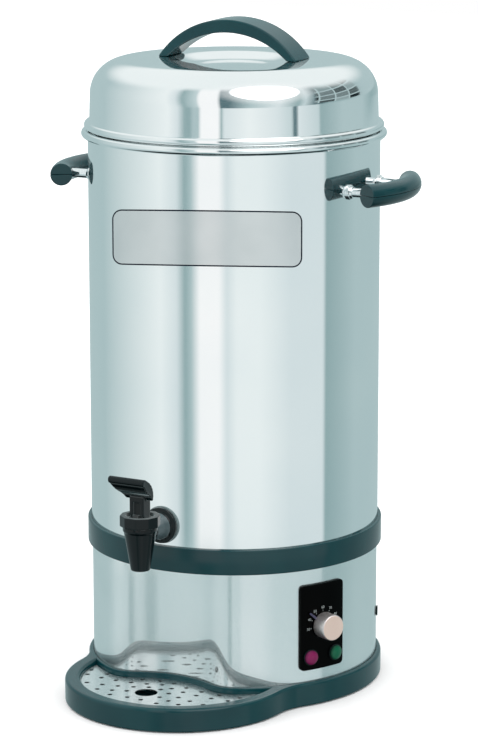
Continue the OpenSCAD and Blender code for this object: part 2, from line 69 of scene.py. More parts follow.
def set_camera():
    """Stands the camera where the photograph was taken from, with a long lens."""
    # metres from the pot axis and above the table, then radians
    far, high = 2.86336, 0.8986
    pitch, yaw, roll = 0.21086, 0.00148, -0.00136
    lens_mm, sensor_mm = 149.92, 36.0
    level_part = math.cos(pitch)
    to_object = Vector((math.sin(yaw) * level_part, math.cos(yaw) * level_part, -math.sin(pitch)))
    level = Vector((math.cos(yaw), -math.sin(yaw), 0.0))
    upward = level.cross(to_object)
    side = math.cos(roll) * level + math.sin(roll) * upward
    top = -math.sin(roll) * level + math.cos(roll) * upward
    data = bpy.data.cameras.new("photo_camera")
    data.sensor_width = sensor_mm
    data.lens = lens_mm
    camera = bpy.data.objects.new("photo_camera", data)
    bpy.context.scene.collection.objects.link(camera)

    def turned_to_object(v):
        """Turns a direction seen from straight ahead to the viewer's side."""
        c, s = math.cos(VIEW_TURN), math.sin(VIEW_TURN)
        return Vector((c * v.x - s * v.y, s * v.x + c * v.y, v.z))

    place = turned_to_object(Vector((0.0, -far, high))) + Vector((0.0, AXIS_Y * MM, 0.0))
    right, up, back = (turned_to_object(v) for v in (side, top, -to_object))
    camera.matrix_world = Matrix((
        (right.x, up.x, back.x, place.x),
        (right.y, up.y, back.y, place.y),
        (right.z, up.z, back.z, place.z),
        (0.0, 0.0, 0.0, 1.0),
    ))
    data.clip_end = 50.0
    bpy.context.scene.camera = camera


# Colours and materials

def tone(hex_code):
    """Turns an sRGB hex value into linear red, green and blue, opaque."""
    parts = [int(hex_code[i : i + 2], 16) / 255.0 for i in (1, 3, 5)]
    linear = [c / 12.92 if c <= 0.04045 else ((c + 0.055) / 1.055) ** 2.4 for c in parts]
    return (*linear, 1.0)


def add(tree, kind, settings=None, values=None, links=None):
    """Adds a node: its settings, its socket values and what feeds its sockets."""
    node = tree.nodes.new(kind)
    for key, value in (settings or {}).items():
        setattr(node, key, value)
    for key, value in (values or {}).items():
        node.inputs[key].default_value = value
    for key, source in (links or {}).items():
        tree.links.new(source, node.inputs[key])
    return node


def set_ramp(node, stops):
    """Fills a colour ramp with (place, colour) stops."""
    ramp = node.color_ramp
    while len(ramp.elements) > 1:
        ramp.elements.remove(ramp.elements[-1])
    ramp.elements[0].position, ramp.elements[0].color = stops[0]
    for place, colour in stops[1:]:
        element = ramp.elements.new(place)
        element.color = colour


def new_material(name):
    """Starts a material with a surface shader and object coordinates."""
    material = bpy.data.materials.new(name)
    material.use_nodes = True
    tree = material.node_tree
    shader = tree.nodes["Principled BSDF"]
    where = add(tree, "ShaderNodeTexCoord").outputs["Object"]
    return material, tree, shader, where


def steel_sheet(name, dark, light, clear, hazy, share, cloud_mm):
    """Stainless sheet: a mirror dulled in part by satin grains, its tone drifting slowly."""
    material, tree, shader, where = new_material(name)
    shader.inputs["Metallic"].default_value = 1.0
    # satin grains are about 0.02 mm wide, drawn 0.04 mm wide
    grain_width = 0.00004
    cells = add(tree, "ShaderNodeVectorMath", {"operation": "SNAP"},
                {1: (grain_width, grain_width, grain_width)}, {0: where})
    chance = add(tree, "ShaderNodeTexWhiteNoise", links={"Vector": cells.outputs[0]})
    grain = add(tree, "ShaderNodeMath", {"operation": "LESS_THAN"}, {1: share},
                {0: chance.outputs[0]})
    rough = add(tree, "ShaderNodeMapRange", values={"To Min": clear, "To Max": hazy},
                links={"Value": grain.outputs[0]})
    tree.links.new(rough.outputs[0], shader.inputs["Roughness"])
    cloud = add(tree, "ShaderNodeTexNoise", values={"Scale": 1000.0 / cloud_mm, "Detail": 2.0},
                links={"Vector": where})
    colour = add(tree, "ShaderNodeValToRGB", links={"Fac": cloud.outputs[0]})
    set_ramp(colour, [(0.3, tone(dark)), (0.7, tone(light))])
    tree.links.new(colour.outputs[0], shader.inputs["Base Color"])
    return material


def turned_metal(name, dark, light, low, high):
    """Small turned parts: bright metal with fine lathe marks."""
    material, tree, shader, where = new_material(name)
    shader.inputs["Metallic"].default_value = 1.0
    # lathe marks are about 0.1 mm apart, drawn 1.4 mm wide so that they show
    fine = add(tree, "ShaderNodeTexNoise", values={"Scale": 700.0, "Detail": 0.0},
               links={"Vector": where})
    rough = add(tree, "ShaderNodeMapRange", values={"To Min": low, "To Max": high},
                links={"Value": fine.outputs[0]})
    tree.links.new(rough.outputs[0], shader.inputs["Roughness"])
    colour = add(tree, "ShaderNodeValToRGB", links={"Fac": fine.outputs[0]})
    set_ramp(colour, [(0.3, tone(dark)), (0.7, tone(light))])
    tree.links.new(colour.outputs[0], shader.inputs["Base Color"])
    return material


def moulded(name, dark, light, low, high, grain_mm, bump_mm, gloss=0.5, metal=0.0):
    """Moulded plastic: eroded grain of the given size, its tone changing slowly with the flow."""
    material, tree, shader, where = new_material(name)
    shader.inputs["Specular IOR Level"].default_value = gloss
    shader.inputs["Metallic"].default_value = metal
    grain = add(tree, "ShaderNodeTexNoise", values={"Scale": 1000.0 / grain_mm, "Detail": 2.0},
                links={"Vector": where})
    flow = add(tree, "ShaderNodeTexNoise", values={"Scale": 22.0, "Detail": 2.0},
               links={"Vector": where})
    colour = add(tree, "ShaderNodeValToRGB", links={"Fac": flow.outputs[0]})
    set_ramp(colour, [(0.35, tone(dark)), (0.65, tone(light))])
    tree.links.new(colour.outputs[0], shader.inputs["Base Color"])
    rough = add(tree, "ShaderNodeMapRange", values={"To Min": low, "To Max": high},
                links={"Value": grain.outputs[0]})
    tree.links.new(rough.outputs[0], shader.inputs["Roughness"])
    bump = add(tree, "ShaderNodeBump", values={"Strength": 0.35, "Distance": bump_mm * MM},
               links={"Height": grain.outputs[0]})
    tree.links.new(bump.outputs[0], shader.inputs["Normal"])
    return material


# deep drawn sheet, polished: the pot and the spun lid mirror the room clearly
STEEL = steel_sheet("polished_stainless_steel", "#eff4f5", "#f5f8f8", 0.05, 0.3, 0.04, 110.0)
LID_STEEL = steel_sheet("spun_stainless_steel", "#f4f7f8", "#f9fbfb", 0.03, 0.3, 0.04, 90.0)
# bent sheet of the housing, partly dulled by handling: mirrored things look hazy in it
HOUSING_STEEL = steel_sheet("hazy_stainless_steel", "#ecf2f2", "#f2f6f6", 0.03, 0.42, 0.4, 80.0)
# rolled sheet, left satin where cups stand on it
GRID_STEEL = steel_sheet("satin_stainless_steel", "#dfe7e8", "#e8eeef", 0.16, 0.4, 0.5, 40.0)
# inside of the pot, ground satin so that it cleans well: pale and even instead of mirror-like
INSIDE_STEEL = moulded("ground_stainless_steel", "#d6dfe0", "#e0e8e8", 0.28, 0.36, 1.0, 0.004,
                       metal=0.6)
CHROME = turned_metal("chrome_plate", "#e6ecee", "#f4f7f8", 0.05, 0.12)
KNOB_SIDE = turned_metal("brushed_aluminium", "#e0d9d8", "#efe7e5", 0.42, 0.5)
KNOB = moulded("lacquered_aluminium", "#fbe2d4", "#ffe9dc", 0.38, 0.48, 0.9, 0.004, metal=0.25)
SLATE = moulded("slate_polypropylene", "#0c3c42", "#104348", 0.11, 0.17, 0.6, 0.003, 0.4)
BLACK = moulded("black_nylon", "#061215", "#0a191c", 0.08, 0.13, 0.6, 0.002, 0.28)
PANEL_BLACK = moulded("panel_gloss_film", "#020202", "#030303", 0.2, 0.3, 1.2, 0.003, 0.04)
RUBBER = moulded("black_rubber", "#121313", "#1c1d1d", 0.6, 0.75, 0.6, 0.03)
SEAL = moulded("grey_silicone", "#718486", "#7f9192", 0.3, 0.4, 0.7, 0.01)
SLEEVE = moulded("grey_nylon", "#4c5c60", "#586a6e", 0.25, 0.35, 0.7, 0.01)
SEAT = moulded("clear_silicone", "#b9bebb", "#c6cbc8", 0.35, 0.45, 0.7, 0.01)
RED = moulded("red_lamp_lens", "#7c1a50", "#8c2059", 0.1, 0.18, 1.6, 0.06)
GREEN = moulded("green_lamp_lens", "#0f5c37", "#186e44", 0.1, 0.18, 1.6, 0.06)
CERAMIC = moulded("cream_ceramic", "#d8d2c2", "#e2dccd", 0.4, 0.55, 0.8, 0.02)
ALLOY = moulded("cast_alloy", "#9a9c9c", "#acaeae", 0.35, 0.5, 0.8, 0.03, metal=1.0)
COPPER = moulded("copper_tube", "#a8683f", "#b87750", 0.25, 0.35, 0.8, 0.01, metal=1.0)
PRINT = moulded("white_screen_print", "#a9b3b2", "#bcc5c4", 0.5, 0.6, 0.5, 0.004)
VIOLET = moulded("violet_grey_plastic", "#3d3d5c", "#4a4a68", 0.35, 0.45, 0.6, 0.006)
LABEL = moulded("silver_label_film", "#dbe1e2", "#e3e8e9", 0.16, 0.24, 1.0, 0.002, metal=0.6)
LABEL_EDGE = moulded("dark_label_ink", "#0d1424", "#131c30", 0.4, 0.5, 1.0, 0.003, 0.1)

NODE_MATERIALS = {
    STEEL: ["pot"],
    HOUSING_STEEL: ["lower_housing"],
    LID_STEEL: ["lid_shell"],
    GRID_STEEL: ["drip_grid"],
    CHROME: ["grip_studs", "grip_collars", "lid_screws", "tie_rods", "tie_nuts", "tap_pivot_pin",
             "thermostat_shaft"],
    KNOB_SIDE: ["thermostat_knob"],
    SLATE: ["base_moulding", "trim_band", "lid_bow", "right_grip_upper", "right_grip_lower",
            "left_grip_upper", "left_grip_lower"],
    BLACK: ["tap_body", "tap_nut", "tap_bonnet", "tap_lever", "mains_gland", "pilot_lamp_bodies"],
    PANEL_BLACK: ["control_panel"],
    RUBBER: ["rubber_feet"],
    SEAL: ["tap_seal_outer", "tap_seal_inner"],
    SEAT: ["tap_seat_cup"],
    RED: ["pilot_lens_red"],
    GREEN: ["pilot_lens_green"],
    CERAMIC: ["thermostat_body", "safety_cutout", "terminal_block"],
    ALLOY: ["heating_element", "heat_plate"],
    COPPER: ["thermostat_bulb"],
}
for material, names in NODE_MATERIALS.items():
    for name in names:
        slots = nodes[name].data.materials
        slots.clear()
        slots.append(material)


# Modelling helpers

def start():
    """Leaves edit mode and deselects everything."""
    if bpy.context.object and bpy.context.object.mode != "OBJECT":
        bpy.ops.object.mode_set(mode="OBJECT")
    bpy.ops.object.select_all(action="DESELECT")


def edit(obj):
    """Makes one object active and opens it for editing with everything selected."""
    start()
    bpy.context.view_layer.objects.active = obj
    obj.select_set(True)
    bpy.ops.object.mode_set(mode="EDIT")
    bpy.ops.mesh.select_mode(type="VERT")
    bpy.ops.mesh.select_all(action="SELECT")


def pick(obj, kind, test):
    """Selects the vertices, edges or faces that pass a test, in edit mode."""
    bpy.ops.mesh.select_mode(type={"verts": "VERT", "edges": "EDGE", "faces": "FACE"}[kind])
    bpy.ops.mesh.select_all(action="DESELECT")
    shape = bmesh.from_edit_mesh(obj.data)
    for part in getattr(shape, kind):
        if test(part):
            part.select_set(True)
    shape.select_flush_mode()
    bmesh.update_edit_mesh(obj.data)


def close_up(obj, angle=30.0):
    """Merges doubles, turns the faces outwards and shades smooth up to an angle."""
    edit(obj)
    bpy.ops.mesh.remove_doubles(threshold=0.000002)
    bpy.ops.mesh.normals_make_consistent(inside=False)
    bpy.ops.object.mode_set(mode="OBJECT")
    bpy.ops.object.shade_smooth_by_angle(angle=math.radians(angle))


def arc(x, z, r, start_angle, end_angle, steps):
    """Points of an arc in a section, angles in degrees."""
    turn = (end_angle - start_angle) / steps
    angles = [math.radians(start_angle + i * turn) for i in range(steps + 1)]
    return [(x + r * math.cos(a), z + r * math.sin(a)) for a in angles]


def trace(name, points, closed=True):
    """Draws a chain of edges through points in millimetres, one vertex pulled from the last."""
    start()
    bpy.ops.mesh.primitive_plane_add(size=0.001)
    obj = bpy.context.object
    obj.name = obj.data.name = name
    edit(obj)
    bpy.ops.mesh.merge(type="CENTER")
    last = Vector((0.0, 0.0, 0.0))
    for number, point in enumerate(points):
        place = Vector(point) * MM
        if number == 0:
            bpy.ops.transform.translate(value=place)
        else:
            bpy.ops.mesh.extrude_vertices_move(TRANSFORM_OT_translate={"value": place - last})
        last = place
    if closed:
        ends = (Vector(points[0]) * MM, Vector(points[-1]) * MM)
        pick(obj, "verts", lambda v: min((v.co - e).length for e in ends) < 0.0000005)
        bpy.ops.mesh.edge_face_add()
    return obj


def turned(name, section, steps=180, angle=30.0, middle=AXIS_Y):
    """Spins a closed section (radius, height) about an upright axis, by default the pot axis."""
    obj = trace(name, [(r, middle, z) for r, z in section])
    bpy.ops.mesh.select_all(action="SELECT")
    bpy.ops.mesh.spin(steps=steps, angle=2 * math.pi, center=(0, middle * MM, 0), axis=(0, 0, 1))
    close_up(obj, angle)
    return obj


def prism(name, outline, low, high, middle=0.0):
    """Pulls a closed outline (x, y) from one height up to another, y counted from middle."""
    obj = trace(name, [(x, y + middle, low) for x, y in outline])
    bpy.ops.mesh.select_all(action="SELECT")
    bpy.ops.mesh.edge_face_add()
    bpy.ops.mesh.extrude_region_move(TRANSFORM_OT_translate={"value": (0, 0, (high - low) * MM)})
    close_up(obj)
    return obj


def at_axis(turn):
    """Place on the pot axis at the table, turned about it by an angle in degrees."""
    return Matrix.Translation((0, AXIS_Y * MM, 0)) @ Matrix.Rotation(math.radians(turn), 4, "Z")


def settle(obj, place):
    """Moves a piece modelled at the origin to its place and keeps that place in its mesh."""
    start()
    obj.matrix_world = place
    bpy.context.view_layer.objects.active = obj
    obj.select_set(True)
    bpy.ops.object.transform_apply(location=True, rotation=True, scale=True)


def copy_of(obj, name):
    """Copies a piece with a mesh of its own."""
    copy = bpy.data.objects.new(name, obj.data.copy())
    bpy.context.scene.collection.objects.link(copy)
    return copy


def joined(name, pieces):
    """Joins pieces into one object."""
    start()
    for piece in pieces:
        piece.select_set(True)
    bpy.context.view_layer.objects.active = pieces[0]
    bpy.ops.object.join()
    pieces[0].name = pieces[0].data.name = name
    return pieces[0]


def apply_modifier(obj, kind, **settings):
    """Adds a modifier with its settings and applies it."""
    start()
    bpy.context.view_layer.objects.active = obj
    obj.select_set(True)
    bpy.ops.object.modifier_add(type=kind)
    modifier = obj.modifiers[-1]
    for key, value in settings.items():
        setattr(modifier, key, value)
    bpy.ops.object.modifier_apply(modifier=modifier.name)


def carve(obj, tool, how="DIFFERENCE"):
    """Cuts a tool out of an object, or keeps what they share, and deletes the tool."""
    apply_modifier(obj, "BOOLEAN", object=tool, operation=how, solver="EXACT")
    bpy.data.objects.remove(tool)


def dress(obj, body, material, slot_name, *replaced):
    """Gives a finished piece its material and its body, and hides the nodes it stands for;
    slot_name is not used.
    """
    obj.data.materials.clear()
    obj.data.materials.append(material)
    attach(obj, body)
    if replaced:
        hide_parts(*replaced)


# Pot, lid, band and housing

def make_pot():
    """Drawn pot: thin wall, floor and a rolled rim."""
    inner, corner = BODY_R - SHEET, BODY_R - SHEET - POT_CORNER_R
    bead_x, bead_z, bead_r = 137.5, RIM_Z - 3.5, 3.5
    floor_under = POT_FLOOR - 2.0
    section = [(0, POT_FLOOR), (corner, POT_FLOOR)]
    section += arc(corner, POT_FLOOR + POT_CORNER_R, POT_CORNER_R, -60, 0, 5)
    section += [(inner, WALL_RING_1), (inner, WALL_RING_2)]
    section += arc(bead_x, bead_z, bead_r, 180, -130, 26)
    section += [(BODY_R, 511.5), (BODY_R, 510.8), (BODY_R, WALL_RING_2), (BODY_R, WALL_RING_1)]
    section += [(BODY_R, POT_LOW), (inner, POT_LOW), (inner, floor_under), (0, floor_under)]
    obj = turned("pot_wall", section, 240)
    dress(obj, "boiler", STEEL, "pot_steel", "pot")


def make_inside():
    """Ground inner face of the pot, a skin over its wall and floor up to the lid skirt."""
    r, z = BODY_R - SHEET - POT_CORNER_R, POT_FLOOR + POT_CORNER_R
    back, face = POT_CORNER_R - 0.1, POT_CORNER_R - 0.25
    skirt_low = 506.0
    section = [(0, z - back), (r, z - back)] + arc(r, z, back, -90, 0, 6)
    section += [(r + back, WALL_RING_1), (r + back, WALL_RING_2), (r + back, skirt_low)]
    section += [(r + face, skirt_low), (r + face, WALL_RING_2), (r + face, WALL_RING_1)]
    section += arc(r, z, face, 0, -90, 6) + [(0, z - face)]
    obj = turned("pot_inside", section, 240)
    dress(obj, "boiler", INSIDE_STEEL, "pot_steel")


def make_lid():
    """Pressed lid: beaded edge, deep round shoulder, crowned top with a shallow dish in it."""
    t, low = SHEET, RIM_Z + 0.3
    out, skirt_out, skirt_in = LID_R - 0.4, LID_R + 0.2, LID_R - 0.8
    skirt_low, bead_r, dish_top, dish_under = low - 10, 3.8, 578, 577
    ridge, crown_end, drop = 63.0, 102.0, 0.8
    span = crown_end - ridge
    crown = [(ridge + span * i / 8, LID_TOP - drop * (i / 8) ** 2) for i in range(9)]
    tilt = math.atan(2 * drop / span)
    c = (out - crown_end) / (1 - math.sin(tilt))
    x, z = out - c, LID_TOP - drop - c * math.cos(tilt)
    top_end = 90 - math.degrees(tilt)
    section = [(0, dish_top), (28, dish_top), (36, 578.2), (40, 578.9), (44, 580), (50, 582.1)]
    section += [(53, 583.05), (55.5, 583.65), (58, 583.95)] + crown
    section += arc(x, z, c, top_end, 2.3, 28)[1:]
    section += [(LID_R + 0.36, low + 8.3), (LID_R + 0.4, low + 7.4)]
    section += arc(LID_R + 1.5, low + bead_r, bead_r, 105, -90, 18)
    section += [(skirt_out, low), (skirt_out, skirt_low), (skirt_in, skirt_low)]
    section += [(skirt_in, low + 2)]
    section += [(LID_R - t, z)] + arc(x, z, c - t, 0, top_end, 28)
    section += [(75, LID_TOP - t - 0.1), (57, LID_TOP - t)]
    section += [(50, 581), (40, 577.6), (36, dish_under), (0, dish_under)]
    obj = turned("lid_pressing", section, 240)
    dress(obj, "lid", LID_STEEL, "pot_steel", "lid_shell")


def make_band():
    """Plastic band that covers the joint of pot and housing, its edges rounded."""
    out, inside, web_in = BODY_R + 3.5, BODY_R + 0.2, 120.0
    edge_r, low, high = 1.0, 129.6, 152.8
    section = [(inside, low)] + arc(out - edge_r, low + edge_r, edge_r, -90, 0, 5)
    section += arc(out - edge_r, high - edge_r, edge_r, 0, 90, 5)
    section += [(inside, high), (inside, POT_LOW), (web_in, POT_LOW), (web_in, HOUSING_HIGH)]
    section += [(inside, HOUSING_HIGH)]
    obj = turned("joint_band", section, 240)
    dress(obj, "boiler", SLATE, "slate_plastic", "trim_band")


def eased(points, rounds):
    """Rounds a closed outline a little, as sheet springs back from the bending roll."""
    for _ in range(rounds):
        before, after = points[-1:] + points[:-1], points[1:] + points[:1]
        points = [((a[0] + 2 * b[0] + c[0]) / 4, (a[1] + 2 * b[1] + c[1]) / 4)
                  for a, b, c in zip(before, points, after)]
    return points


def housing_outline(g, fine=1):
    """Plan of the housing with its front scoop, moved outwards by g, about the pot axis."""
    scoop_r, scoop_depth, edge_r = 84.0, 28.0, 25.0
    scoop_y = BODY_R - scoop_depth + scoop_r
    inside, off = BODY_R - edge_r, scoop_r + edge_r
    edge_y = (off * off - inside * inside - scoop_y * scoop_y) / (2 * scoop_y)
    edge_x = math.sqrt(inside * inside - edge_y * edge_y)
    body_end = math.degrees(math.atan2(edge_y, edge_x))
    scoop_end = math.degrees(math.atan2(edge_y + scoop_y, edge_x))
    points = arc(0, 0, BODY_R + g, body_end, 180 - body_end, 180 * fine)
    points += arc(-edge_x, edge_y, edge_r + g, 180 - body_end, 360 - scoop_end, 14 * fine)[1:]
    points += arc(0, -scoop_y, scoop_r - g, 180 - scoop_end, scoop_end, 44 * fine)[1:]
    points += arc(edge_x, edge_y, edge_r + g, 180 + scoop_end, 360 + body_end, 14 * fine)[1:-1]
    return eased(points, 22 * fine * fine)


def make_housing():
    """Bent sheet wall of the lower housing, scooped in under the tap."""
    obj = trace("housing_wall", [(x, y + AXIS_Y, HOUSING_LOW) for x, y in housing_outline(0)])
    bpy.ops.mesh.select_all(action="SELECT")
    height = (HOUSING_HIGH - HOUSING_LOW) * MM
    bpy.ops.mesh.extrude_region_move(TRANSFORM_OT_translate={"value": (0, 0, height)})
    bpy.ops.mesh.select_all(action="SELECT")
    bpy.ops.mesh.normals_make_consistent(inside=False)
    bpy.ops.object.mode_set(mode="OBJECT")
    # the sheet thickens inwards, so its faces have to point out
    back = max(obj.data.polygons, key=lambda p: p.center.y)
    if back.normal.y < 0:
        edit(obj)
        bpy.ops.mesh.flip_normals()
    apply_modifier(obj, "SOLIDIFY", thickness=SHEET * MM, offset=-1.0, use_even_offset=True)
    close_up(obj, 30)
    dress(obj, "boiler", HOUSING_STEEL, "pot_steel", "lower_housing")


LOBE_Y, LOBE_R, RING_R, NECK_R = 105.4, 106.2, 139.0, 60.0
GRID_R, BASE_LOW, BASE_HIGH = 91.7, 1.2, 22.5
# play around the housing at the basin, and the ledge that the grid rests on
BASIN_GAP, GRID_LEDGE = 3.0, 3.0


def base_outline():
    """Plan of the base: ring behind, lobe in front and two hollow corners between them."""
    ring_off, lobe_off = RING_R + NECK_R, LOBE_R + NECK_R
    corner_y = (lobe_off**2 - ring_off**2 - LOBE_Y**2) / (2 * LOBE_Y)
    corner_x = math.sqrt(ring_off**2 - corner_y**2)
    ring_end = math.degrees(math.atan2(corner_y, corner_x))
    lobe_end = math.degrees(math.atan2(corner_y + LOBE_Y, corner_x))
    points = arc(0, 0, RING_R, ring_end, 180 - ring_end, 110)
    points += arc(-corner_x, corner_y, NECK_R, -ring_end, -lobe_end, 10)[1:]
    points += arc(0, -LOBE_Y, LOBE_R, 180 - lobe_end, 360 + lobe_end, 90)[1:]
    points += arc(corner_x, corner_y, NECK_R, 180 + lobe_end, 180 + ring_end, 10)[1:-1]
    return points


def basin_outline(g):
    """Plan of the drip basin, moved inwards by g: the lobe circle up to the housing."""
    near = [(x, y) for x, y in housing_outline(BASIN_GAP + g, 2)
            if y < 0 and math.hypot(x, y + LOBE_Y) < GRID_R - g]
    near.sort(key=lambda p: p[0])
    first, last = near[0], near[-1]
    first_angle = math.degrees(math.atan2(first[1] + LOBE_Y, first[0])) % 360
    last_angle = math.degrees(math.atan2(last[1] + LOBE_Y, last[0])) % 360
    last_angle += 360 if last_angle < first_angle else 0
    return arc(0, -LOBE_Y, GRID_R - g, first_angle, last_angle, 90)[1:-1] + near[::-1]


def make_base():
    """Moulded base: ring and front lobe with rounded edges, housing seat and drip basin."""
    obj = prism("base_tray", base_outline(), BASE_LOW, BASE_HIGH, AXIS_Y)
    edit(obj)
    pick(obj, "edges", lambda e: all(abs(v.co.z - BASE_HIGH * MM) < 1e-6 for v in e.verts))
    bpy.ops.mesh.bevel(offset=3.0 * MM, segments=6, affect="EDGES")
    pick(obj, "edges", lambda e: all(abs(v.co.z - BASE_LOW * MM) < 1e-6 for v in e.verts))
    bpy.ops.mesh.bevel(offset=1.0 * MM, segments=2, affect="EDGES")
    hollow_floor, ledge_z, basin_floor = 3.7, 16.0, 5.0
    seat_play, seat_width = 0.2, 7.0
    carve(obj, prism("seat_tool", housing_outline(seat_play), HOUSING_LOW, CLEAR_Z, AXIS_Y))
    carve(obj, prism("hollow_tool", housing_outline(-seat_width), hollow_floor, CLEAR_Z, AXIS_Y))
    carve(obj, prism("rest_tool", basin_outline(0), ledge_z, CLEAR_Z, AXIS_Y))
    carve(obj, prism("basin_tool", basin_outline(GRID_LEDGE), basin_floor, CLEAR_Z, AXIS_Y))
    lip_r, lip_low = 4.0, BASE_HIGH - 4.0
    section = [(0, lip_low), (GRID_R, lip_low)]
    section += arc(GRID_R + lip_r, lip_low, lip_r, 180, 90, 8)[1:]
    section += [(GRID_R + lip_r, CLEAR_Z), (0, CLEAR_Z)]
    lip = turned("lip_tool", section, 180, middle=AXIS_Y - LOBE_Y)
    carve(lip, prism("housing_tool", housing_outline(BASIN_GAP), 10.0, CLEAR_Z + 5.0, AXIS_Y))
    carve(obj, lip)
    edit(obj)
    bpy.ops.mesh.quads_convert_to_tris(ngon_method="BEAUTY")
    pick(obj, "edges", is_lip)
    bpy.ops.mesh.bevel(offset=0.9 * MM, segments=3, affect="EDGES")
    close_up(obj, 35)
    dress(obj, "boiler", SLATE, "slate_plastic", "base_moulding")


def is_lip(edge):
    """True for the upper edge of the drip basin and of the housing seat."""
    on_top = all(abs(v.co.z - BASE_HIGH * MM) < 1e-6 for v in edge.verts)
    if not on_top or len(edge.link_faces) != 2:
        return False
    return min(abs(f.normal.z) for f in edge.link_faces) < 0.1


# Handles

def make_bow():
    """Arched lid handle: a wide strap with rounded edges."""
    half, rise, thick, width = 68.0, 36.0, 12.0, 38.0
    out_r = (half**2 + rise**2) / (2 * rise)
    in_half, in_rise = half - 9.5, rise - thick
    in_r = (in_half**2 + in_rise**2) / (2 * in_rise)
    out_end = math.degrees(math.asin(half / out_r))
    in_end = math.degrees(math.asin(in_half / in_r))
    profile = arc(0, rise - out_r, out_r, 90 - out_end, 90 + out_end, 48)
    profile += arc(0, in_rise - in_r, in_r, 90 + in_end, 90 - in_end, 48)
    obj = prism("lid_handle", profile, -width / 2, width / 2)
    apply_modifier(obj, "BEVEL", width=1.6 * MM, segments=4, limit_method="ANGLE",
                   angle_limit=math.radians(40))
    stand = Matrix.Rotation(math.radians(90), 4, "X")
    bow_turn = 7.0
    settle(obj, at_axis(bow_turn) @ Matrix.Translation((0, 0, LID_TOP * MM)) @ stand)
    close_up(obj, 35)
    dress(obj, "lid", SLATE, "slate_plastic", "lid_bow")


GRIP_TURN, GRIP_Z, GRIP_X, STUD_Y = 3.0, 472.0, 168.0, 33.0
GRIP_ARC_R, GRIP_ARC, GRIP_R, GRIP_GROOVE = 102.0, 58.0, 10.4, 0.12


def make_grips():
    """Side grips: each an upper and a lower moulded half with a fine groove between them."""
    for side, turn in (("right", GRIP_TURN), ("left", GRIP_TURN + 180.0)):
        for half, first in (("upper", 0.0), ("lower", 180.0)):
            lift = GRIP_GROOVE if half == "upper" else -GRIP_GROOVE
            half_round = arc(0, 0, GRIP_R - GRIP_GROOVE, first, first + 180, 26)
            section = [(GRIP_ARC_R + x, 0.0, z + lift) for x, z in half_round]
            obj = trace(f"{side}_{half}_grip", section)
            bpy.ops.mesh.select_all(action="SELECT")
            bpy.ops.mesh.edge_face_add()
            bpy.ops.mesh.spin(steps=44, angle=math.radians(GRIP_ARC), center=(0, 0, 0),
                              axis=(0, 0, 1))
            close_up(obj)
            apply_modifier(obj, "BEVEL", width=0.55 * MM, segments=3, limit_method="ANGLE",
                           angle_limit=math.radians(40))
            ahead = Matrix.Rotation(math.radians(GRIP_ARC / 2), 4, "Z")
            place = Matrix.Translation(((GRIP_X - GRIP_ARC_R) * MM, 0, GRIP_Z * MM))
            settle(obj, at_axis(turn) @ place @ ahead)
            close_up(obj, 35)
            dress(obj, "boiler", SLATE, "slate_plastic", f"{side}_grip_{half}")


def make_collars():
    """Turned collars that the grip studs stand on, domed and trimmed to the pot."""
    bore_r, out_r, root, shoulder_z, shoulder_r = 4.32, 7.0, -8.0, 1.2, 1.4
    section = [(bore_r, root), (out_r, root), (out_r, shoulder_z)]
    section += arc(out_r - shoulder_r, shoulder_z, shoulder_r, 0, 70, 5)
    section += [(5.1, 4.4), (bore_r, 4.6)]
    first = turned("grip_washers", section, 40, middle=0.0)
    foot = math.sqrt(BODY_R**2 - STUD_Y**2)
    copies = []
    for turn in (GRIP_TURN, GRIP_TURN + 180.0):
        for y in (-STUD_Y, STUD_Y):
            copy = copy_of(first, "washer")
            along = Matrix.Rotation(math.radians(90), 4, "Y")
            place = Matrix.Translation((foot * MM, y * MM, GRIP_Z * MM))
            settle(copy, at_axis(turn) @ place @ along)
            copies.append(copy)
    bpy.data.objects.remove(first)
    obj = joined("grip_washers", copies)
    low, high = 450.0, 495.0
    carve(obj, turned("pot_tool", [(0, low), (BODY_R, low), (BODY_R, high), (0, high)], 240))
    close_up(obj, 40)
    dress(obj, "boiler", CHROME, "chrome", "grip_collars")


# Tap

TAP_Z = 172.5
SPOUT_Y = AXIS_Y - 175.0


def solid_copy(name, node):
    """Copies a solid's mesh and merges its doubles."""
    obj = bpy.data.objects.new(name, nodes[node].data.copy())
    bpy.context.scene.collection.objects.link(obj)
    edit(obj)
    bpy.ops.mesh.remove_doubles(threshold=0.000005)
    bpy.ops.object.mode_set(mode="OBJECT")
    return obj


def soften(obj, voxel, rounds):
    """Melts the edges of a piece a little, as a mould does."""
    apply_modifier(obj, "REMESH", mode="VOXEL", voxel_size=voxel * MM)
    apply_modifier(obj, "SMOOTH", factor=0.5, iterations=rounds)
    start()
    bpy.context.view_layer.objects.active = obj
    obj.select_set(True)
    bpy.ops.object.shade_smooth()
    return obj


def make_tap():
    """Moulded tap: body, bonnet and lever with soft edges."""
    body = soften(solid_copy("tap_casting", "tap_body"), 0.6, 5)
    dress(body, "boiler", BLACK, "black_plastic", "tap_body")
    cap = soften(solid_copy("tap_cap", "tap_bonnet"), 0.4, 5)
    dress(cap, "boiler", BLACK, "black_plastic", "tap_bonnet")
    lever = solid_copy("tap_handle", "tap_lever")
    post_top, lever_clear = 208.0, 260.0
    around = [(-30, -40), (30, -40), (30, 30), (-30, 30)]
    carve(lever, prism("wing_tool", around, post_top, lever_clear, SPOUT_Y))
    lever = soften(joined("tap_handle", [lever, thumb_plate()]), 0.5, 6)
    dress(lever, "tap_lever", BLACK, "black_plastic", "tap_lever")


